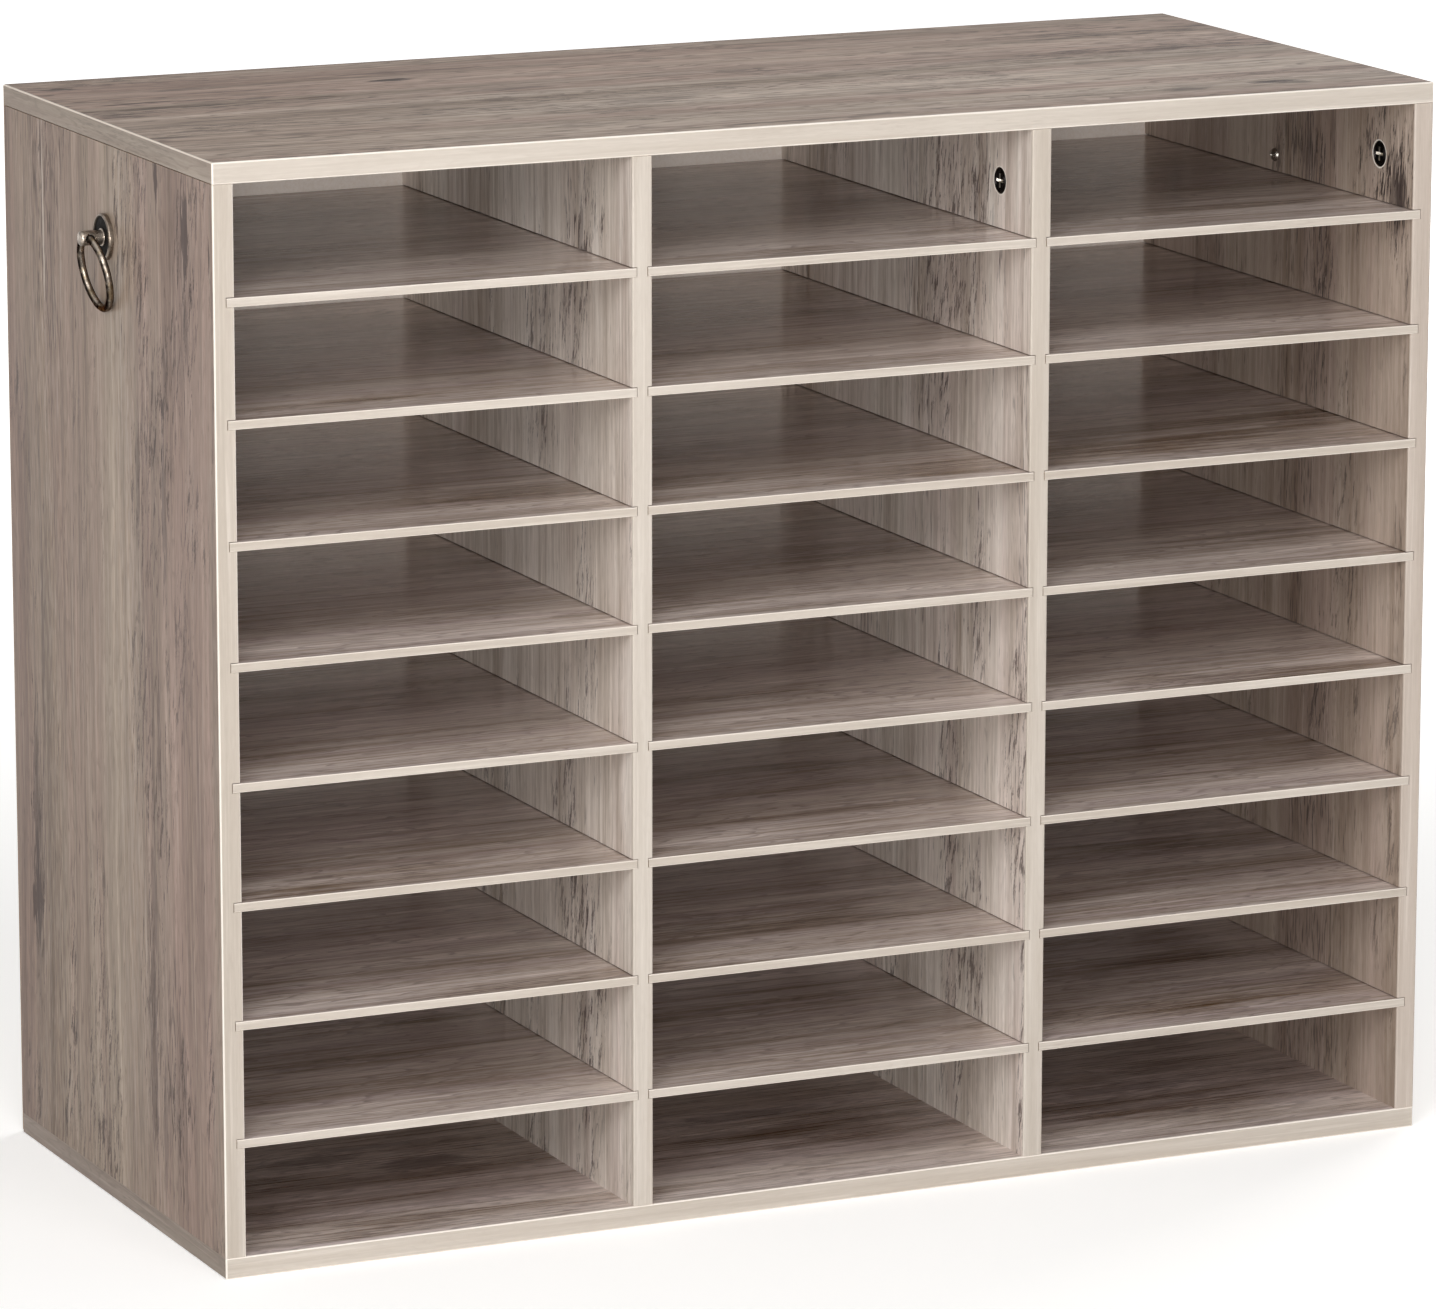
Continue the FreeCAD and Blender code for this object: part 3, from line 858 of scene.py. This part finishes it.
def buildScatterTree():
    # Stands one copy of an item on every point, with its Z along the point's facing.
    tree, start, end = newGroup("standOnPoints", "GeometryNodeTree", {
        "Points": "Geometry", "Item": "Object", "Finish": "Material", "Recess Finish": "Material",
    }, {"Geometry": "Geometry"})
    item = addNode(tree, "GeometryNodeObjectInfo", {"Object": start["Item"], "As Instance": True})
    outward = shapeNode(tree, "InputNamedAttribute", {"Name": "facing"}, data_type="FLOAT_VECTOR")
    turn = addNode(tree, "FunctionNodeAlignRotationToVector", {"Vector": outward}, axis="Z")
    copies = shapeNode(tree, "InstanceOnPoints", {
        "Points": start["Points"], "Instance": item.outputs["Geometry"], "Rotation": turn.outputs[0]})
    real = shapeNode(tree, "RealizeInstances", {"Geometry": copies})
    recess = shapeNode(tree, "InputNamedAttribute", {"Name": "recess"}, data_type="BOOLEAN")
    for selection, finish in ((None, "Finish"), (recess, "Recess Finish")):
        real = shapeNode(tree, "SetMaterial", {
            "Geometry": real, "Selection": selection, "Material": start[finish]})
    feed(tree, end, {"Geometry": real})
    return tree


scatterTree = buildScatterTree()


def markRecess(mesh, radius, depth):
    # Marks the faces of the driver recess, which get bright steel: partly worn metal, partly a painted
    # highlight that makes the cross show.
    flags = mesh.attributes.new("recess", "BOOLEAN", "FACE")
    margin = 0.1 * mm
    for face in mesh.polygons:
        middle = face.center
        inside = -depth - margin < middle.z < -margin and math.hypot(middle.x, middle.y) < radius + margin
        flags.data[face.index].value = inside
    return mesh


def solidEnds(node, axis, end, sign):
    # Each solid of a node as (point, direction), where the point is the middle of the solid's low (0) or
    # high (1) end, or of the whole solid; and the corners of the last solid, which has the size of all.
    places = []
    direction = [0.0, 0.0, 0.0]
    direction[axis] = sign
    for pair in islands(node):
        point = (pair[0] + pair[1]) / 2
        if end is not None:
            point[axis] = pair[end][axis]
        places.append((point, direction))
    return places, pair[0], pair[1]


def standOnPoints(name, node, item, finish, places, bareAndHighlight=None):
    # Places are (point, direction) pairs; the copies replace the node's solids on the case.
    points = bpy.data.meshes.new(name + "_points")
    points.from_pydata([place for place, direction in places], [], [])
    directions = points.attributes.new("facing", "FLOAT_VECTOR", "POINT")
    for index, (place, direction) in enumerate(places):
        directions.data[index].vector = direction
    model = addObject(name + "_model", item)
    finishes = {"Finish": finish, "Recess Finish": bareAndHighlight or finish}
    piece = runTree(name, scatterTree, dict(finishes, Item=model), points)
    bpy.data.objects.remove(model)
    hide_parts(node)
    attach(piece, "case")


def startMetal(name, spec):
    material, tree, surface, place = newMaterial(name, Metallic=1.0)
    patina = useGroup(tree, metalPatina, dict(spec, Vector=place))
    feed(tree, surface, {"Base Color": patina["Color"], "Roughness": patina["Roughness"]})
    addBump(tree, surface, patina["Height"], 0.05, 0.05 * mm)
    return material, tree, surface, place, patina


zinc = {"bright": paint(46, 42, 42), "tarnish": paint(22, 19, 20), "blotch": 3 * mm, "amount": 0.7}
steel = {"bright": paint(206, 200, 190), "tarnish": paint(120, 110, 100), "blotch": 2 * mm, "amount": 0.6}
steelFinish = startMetal("brightSteel", steel)[0]
zincFinish = startMetal("blackZinc", zinc)[0]

cams = {
    "chamfer": 0.5 * mm, "crossLength": 8.4 * mm, "crossWidth": 1.7 * mm, "crossDepth": 2.6 * mm,
    "groove": 0.35 * mm, "grooveRadius": 5.6 * mm, "grooveWidth": 0.5 * mm,
    "channelWidth": 6.6 * mm, "channelHeight": 3.8 * mm,
}


def makeCams(spec):
    places = []
    for low, high in islands("cam_locks"):
        middle = (low + high) / 2
        outward = 1.0 if middle.x < 0 else -1.0
        places.append((Vector((high.x if outward > 0 else low.x, middle.y, middle.z)), (outward, 0.0, 0.0)))
        radius, depth = (high.z - low.z) / 2, high.x - low.x
    chamfer, ring, ringWidth = spec["chamfer"], spec["grooveRadius"], spec["grooveWidth"]
    profile = [(0.0, -depth), (radius - chamfer, -depth), (radius, chamfer - depth), (radius, -chamfer),
               (radius - chamfer, 0.0), (ring + ringWidth, 0.0), (ring + ringWidth / 2, -spec["groove"]),
               (ring - ringWidth / 2, -spec["groove"]), (ring - ringWidth, 0.0), (0.0, 0.0)]
    # The bolt's head turns in a channel behind the face, open at the back and at one side.
    half, reach = spec["channelWidth"] / 2, spec["channelHeight"] / 2
    channel = slab((-radius * 1.2, -half, -depth - mm), (reach, half, -depth / 2 + reach))
    body = cutAway(turned("camLock", profile), crossCutters(spec) + [channel])
    item = markRecess(body, spec["crossLength"] / 2, spec["crossDepth"])
    # The recess of each black cam is bright steel: partly worn metal, partly a painted highlight.
    standOnPoints("camLocks", "cam_locks", item, zincFinish, places, steelFinish)


nails = {"headRise": 0.25 * mm, "point": 2.0 * mm, "shankShare": 0.35, "crownShare": 0.7}


def makeNails(spec):
    places, low, high = solidEnds("back_nails", axis=1, end=1, sign=1.0)
    head, length = (high.x - low.x) / 2, high.y - low.y
    shank, rise = head * spec["shankShare"], spec["headRise"]
    profile = [(0.0, -length), (shank, -length + spec["point"]), (shank, -rise * 2.4), (head, -rise * 2),
               (head, -rise), (head * spec["crownShare"], -rise / 4), (0.0, 0.0)]
    item = turned("backNail", profile, segments=16)
    standOnPoints("backNails", "back_nails", item, steelFinish, places)


def threadProfile(core, crest, first, last, pitch):
    # Ridges from the first height up to the last, for a profile that is being listed upwards.
    points = []
    height = first
    while height + pitch <= last:
        points += [(core, height), (crest, height + pitch / 2)]
        height += pitch
    return points + [(core, height)]


baseScrews = {
    "headHeight": 3.0 * mm, "headEdge": 0.3 * mm, "core": 1.35 * mm, "pitch": 1.6 * mm, "tip": 4.0 * mm,
    "crossLength": 4.4 * mm, "crossWidth": 1.1 * mm, "crossDepth": 1.3 * mm,
}


def makeBaseScrews(spec):
    places, low, high = solidEnds("base_screws", axis=2, end=0, sign=-1.0)
    head, length = (high.x - low.x) / 2, high.z - low.z
    crest, threadEnd = head / 2, -length / 3
    shank = crest * 0.8
    profile = [(0.0, -length)]
    profile += threadProfile(spec["core"], crest, -length + spec["tip"], threadEnd, spec["pitch"])
    profile += [(shank, threadEnd + spec["pitch"]), (shank, -spec["headHeight"]),
                (head, -spec["headEdge"]), (head, 0.0), (0.0, 0.0)]
    item = cutAway(turned("baseScrew", profile, 32), crossCutters(spec))
    standOnPoints("baseScrews", "base_screws", item, steelFinish, places)


camBolts = {
    "threadLength": 9.0 * mm, "threadCore": 2.3 * mm, "threadCrest": 3.0 * mm, "pitch": 1.5 * mm,
    "point": 1.0 * mm, "shank": 2.5 * mm, "neck": 1.7 * mm, "neckLength": 5.0 * mm,
    "headLength": 3.0 * mm, "rounding": 0.8 * mm,
}


def makeCamBolts(spec):
    places, low, high = solidEnds("cam_bolts", axis=2, end=0, sign=1.0)
    head, length = (high.x - low.x) / 2, high.z - low.z
    seat = length - spec["threadLength"]
    neckEnd = spec["headLength"] + spec["neckLength"]
    rounding, core = spec["rounding"], spec["threadCore"]
    profile = [(0.0, 0.0)] + arc(head - rounding, rounding, rounding, -90, 0)
    profile += [(head, spec["headLength"] * 0.8), (spec["neck"], spec["headLength"]),
                (spec["neck"], neckEnd - rounding), (spec["shank"], neckEnd), (spec["shank"], seat)]
    profile += threadProfile(core, spec["threadCrest"], seat, length - spec["point"], spec["pitch"])
    profile += [(core * 0.7, length), (0.0, length)]
    item = turned("camBolt", profile, 32)
    standOnPoints("camBolts", "cam_bolts", item, steelFinish, places)


dowels = {"flutes": 12, "fluteDepth": 0.25 * mm, "chamfer": 0.9 * mm,
          "pale": paint(224, 192, 150), "dark": paint(196, 158, 112)}


def makeDowels(spec):
    material, tree, surface, place = newMaterial("beechDowel", Roughness=0.6)
    grain = noise(tree, vectorMaths(tree, "MULTIPLY", place, (1500.0, 1500.0, 90.0)), 3.0)
    feed(tree, surface, {"Base Color": mixColour(tree, grain, spec["dark"], spec["pale"])})
    addBump(tree, surface, grain, 0.2, 0.1 * mm)
    places, low, high = solidEnds("dowels", axis=2, end=None, sign=1.0)
    radius, length = (high.x - low.x) / 2, high.z - low.z
    chamfer = spec["chamfer"]
    profile = [(0.0, -length / 2), (radius - chamfer, -length / 2), (radius, chamfer - length / 2),
               (radius, length / 2 - chamfer), (radius - chamfer, length / 2), (0.0, length / 2)]
    mesh = turned("dowel", profile, segments=spec["flutes"] * 4)
    for vertex in mesh.vertices:
        flat = Vector((vertex.co.x, vertex.co.y, 0.0))
        if flat.length > radius * 0.98:
            wave = 0.5 - 0.5 * math.cos(spec["flutes"] * math.atan2(flat.y, flat.x))
            flat = flat * (1 - wave * spec["fluteDepth"] / radius)
            vertex.co.x, vertex.co.y = flat.x, flat.y
    standOnPoints("fluteDowels", "dowels", mesh, material, places)


makeCams(cams)
makeNails(nails)
makeBaseScrews(baseScrews)
makeCamBolts(camBolts)
makeDowels(dowels)
print("fasteners stand in their holes")


# Ring pulls

pull = {
    "rimWidth": 1.25 * mm,
    "dish": 0.9 * mm,
    "edgeRounding": 1.1 * mm,
    "brokenEdge": 0.2 * mm,
    "footRadius": 5.0 * mm,
    "footHeight": 1.0 * mm,
    "footChamfer": 0.25 * mm,
    "footRounding": 0.5 * mm,
    "tipRounding": 1.5 * mm,
    "waist": 0.25 * mm,
    "holeRadius": 2.7 * mm,
    "rod": 4.2 * mm,
    "screwShank": 2.0 * mm,
    "screwPoint": 0.4 * mm,
    "threadLength": 6.0 * mm,
    "threadRunOut": 0.6 * mm,
    "pitch": 0.7 * mm,
    "headEdge": 0.15 * mm,
    "crossLength": 4.6 * mm,
    "crossWidth": 1.0 * mm,
    "crossDepth": 1.5 * mm,
    "tarnish": paint(48, 42, 37),
    # Ring, rose and post are one nickel, painted at three brightnesses for how the light falls on each:
    # paler on ring and post as painted light, darker on the rose as painted shade.
    "ringNickel": paint(160, 149, 137),
    "roseNickel": paint(138, 126, 114),
    "postNickel": paint(170, 158, 146),
    "edgeTint": paint(165, 150, 140),
    "brass": paint(150, 128, 92),
    "black": paint(28, 25, 23),
}


def startNickel(name, spec, bright, blotch, amount):
    return startMetal(name, {"bright": spec[bright], "tarnish": spec["tarnish"], "blotch": blotch,
                             "amount": amount})


def buildRingTree():
    tree, start, end = newGroup("roundRing", "GeometryNodeTree", {
        "Radius": 0.02, "Rod Radius": 0.002, "Lean": 0.0, "Place": "Vector", "Finish": "Material",
    }, {"Geometry": "Geometry"})
    circle = shapeNode(tree, "CurvePrimitiveCircle", {"Resolution": 160, "Radius": start["Radius"]})
    section = shapeNode(tree, "CurvePrimitiveCircle", {"Resolution": 28, "Radius": start["Rod Radius"]})
    ring = shapeNode(tree, "CurveToMesh", {"Curve": circle, "Profile Curve": section})
    ring = shapeNode(tree, "SetShadeSmooth", {"Geometry": ring, "Shade Smooth": True})
    # The circle lies flat; the lean turns its axis about Y until it points out of the side board.
    ring = shapeNode(tree, "Transform", {
        "Geometry": ring, "Rotation": combine(tree, 0.0, start["Lean"], 0.0),
        "Translation": start["Place"]})
    ring = shapeNode(tree, "RealizeInstances", {"Geometry": ring})
    ring = shapeNode(tree, "SetMaterial", {"Geometry": ring, "Material": start["Finish"]})
    feed(tree, end, {"Geometry": ring})
    return tree


ringTree = buildRingTree()


def makeRingFinish(name, spec, centre, axis):
    # Nickel on the inner and outer rims; the two flat sides painted near black, a painted dark reflection
    # with some tarnish; a little brass showing.
    material, tree, surface, place, patina = startNickel(name, spec, "ringNickel", 5 * mm, 0.75)
    offset = vectorMaths(tree, "SUBTRACT", place, tuple(centre))
    height = vectorMaths(tree, "DOT_PRODUCT", offset, tuple(axis))
    # The flat sides are painted near black: a painted dark reflection, partly tarnish.
    side = remap(tree, maths(tree, "ABSOLUTE", height), spec["rod"] * 0.18, spec["rod"] * 0.42)
    ragged = noise(tree, place, 4.0, 0.7, 260.0)
    side = product(tree, side, remap(tree, ragged, 0.3, 0.55, 0.55, 1.0))
    brass = remap(tree, noise(tree, place, scale=120.0), 0.52, 0.66)
    colour = mixColour(tree, product(tree, brass, 0.4), patina["Color"], spec["brass"])
    colour = mixColour(tree, side, colour, spec["black"])
    feed(tree, surface, {"Base Color": colour, "Specular Tint": spec["edgeTint"]})
    return material


def makeRoseFinish(name, spec, centre, dishRadius):
    # Nickel with a black dish.
    material, tree, surface, place, patina = startNickel(name, spec, "roseNickel", 4 * mm, 0.5)
    offset = vectorMaths(tree, "SUBTRACT", place, tuple(centre))
    distance = vectorMaths(tree, "LENGTH", vectorMaths(tree, "MULTIPLY", offset, (0.0, 1.0, 1.0)))
    dish = remap(tree, distance, dishRadius - 0.3 * mm, dishRadius + 0.4 * mm, 1.0, 0.0)
    feed(tree, surface, {
        "Base Color": mixColour(tree, dish, patina["Color"], spec["black"]),
        "Roughness": timesPlus(tree, dish, 0.4, patina["Roughness"])})
    return material


def placePiece(name, mesh, matrix, material, node):
    mesh.transform(matrix)
    mesh.materials.clear()
    mesh.materials.append(material)
    mesh.name = name
    piece = addObject(name, mesh)
    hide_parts(node)
    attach(piece, "case")


def makeRosePiece(side, spec, out):
    low, high = corners(side + "_pull_rose")
    radius, thick = (high.z - low.z) / 2, high.x - low.x
    seat = Vector((high.x if out < 0 else low.x, (low.y + high.y) / 2, (low.z + high.z) / 2))
    inner = radius - spec["rimWidth"]
    floor = thick - spec["dish"]
    rounding, broken, hollow = spec["edgeRounding"], spec["brokenEdge"], spec["dish"] * 0.7
    profile = [(0.0, 0.0), (radius - broken, 0.0), (radius, broken)]
    profile += arc(radius - rounding, thick - rounding, rounding, 0, 90)
    profile += arc(inner + hollow, thick - hollow, hollow, 90, 180, 4)
    profile += [(inner - broken, floor), (0.0, floor)]
    finish = makeRoseFinish(side + "RoseNickel", spec, seat, inner)
    placePiece(side + "Rose", turned("rose", profile, 96), facing((out, 0, 0), seat), finish,
               side + "_pull_rose")
    return seat, floor


def makePostPiece(side, spec, out, seat, floor, finish):
    low, high = corners(side + "_pull_post")
    length = high.x - low.x + floor
    foot, chamfer, rounding = spec["footRadius"], spec["footChamfer"], spec["footRounding"]
    footTop = floor + spec["footHeight"]
    # The post is a little thicker than the head of its screw.
    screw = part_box(side + "_pull_screw")
    radius = (screw[1][2] - screw[0][2]) / 2 * 1.05
    pivot = Vector(next(joint for joint in frame["record"]["behaviour"]["joints"]
                        if joint["name"] == side + "_ring_swing")["pos_m"])
    reach = abs(pivot.x - seat.x)
    tip, bore = spec["tipRounding"], spec["holeRadius"]
    profile = [(0.0, floor), (foot - chamfer, floor), (foot, floor + chamfer)]
    profile += arc(foot - rounding, footTop - rounding, rounding, 0, 90, 4)
    profile += [(radius, footTop), (radius - spec["waist"], (floor + reach) / 2), (radius, reach - bore)]
    profile += arc(radius - tip, length - tip, tip, 0, 90, 8) + [(0.0, length)]
    drill = turned("drill", [(0.0, -3 * foot), (bore, -3 * foot), (bore, 3 * foot), (0.0, 3 * foot)])
    drill.transform(Matrix.Translation((0, 0, reach)) @ Matrix.Rotation(math.pi / 2, 4, "X"))
    mesh = cutAway(turned("post", profile, 96), [drill])
    placePiece(side + "Post", mesh, facing((out, 0, 0), seat), finish, side + "_pull_post")
    return pivot


def makeRingPiece(side, spec, pivot):
    low, high = corners(side + "_pull_ring")
    centre = (low + high) / 2
    outer = (high.y - low.y) / 2
    hang = (centre - pivot).normalized()
    axis = Vector((0, 1, 0)).cross(hang)
    piece = runTree(side + "Ring", ringTree, {
        "Radius": outer - spec["rod"] / 2, "Rod Radius": spec["rod"] / 2,
        "Lean": math.atan2(axis.x, axis.z), "Place": centre,
        "Finish": makeRingFinish(side + "RingNickel", spec, centre, axis)})
    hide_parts(side + "_pull_ring")
    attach(piece, side + "_ring")


def makeScrewPiece(side, spec, out):
    low, high = corners(side + "_pull_screw")
    panelLow, panelHigh = corners(side + "_side_panel")
    head = (high.z - low.z) / 2
    seat = Vector((panelHigh.x if out < 0 else panelLow.x, (low.y + high.y) / 2, (low.z + high.z) / 2))
    rise = abs((high.x if out < 0 else low.x) - seat.x)
    length = high.x - low.x - rise
    # The head is the cap of a ball.
    ball = (head ** 2 + rise ** 2) / (2 * rise)
    opening = math.degrees(math.asin(head / ball))
    shank, threadEnd = spec["screwShank"], spec["threadLength"] - length
    profile = [(0.0, -length)]
    profile += threadProfile(shank * 0.8, shank, spec["screwPoint"] - length, threadEnd, spec["pitch"])
    profile += [(shank, threadEnd + spec["threadRunOut"]), (shank, 0.0), (head - spec["headEdge"], 0.0)]
    profile += [(radius, max(height, 0.05 * mm))
                for radius, height in arc(0.0, rise - ball, ball, 90 - opening, 90, 10)]
    mesh = cutAway(turned("pullScrew", profile, 64), crossCutters(spec, rise))
    placePiece(side + "PullScrew", mesh, facing((-out, 0, 0), seat), steelFinish, side + "_pull_screw")


def makePulls(spec):
    postFinish = startNickel("postNickel", spec, "postNickel", 4 * mm, 0.55)[0]
    for side, out in (("left", -1.0), ("right", 1.0)):
        seat, floor = makeRosePiece(side, spec, out)
        pivot = makePostPiece(side, spec, out, seat, floor, postFinish)
        makeRingPiece(side, spec, pivot)
        makeScrewPiece(side, spec, out)


makePulls(pull)
print("ring pulls hang on both sides")
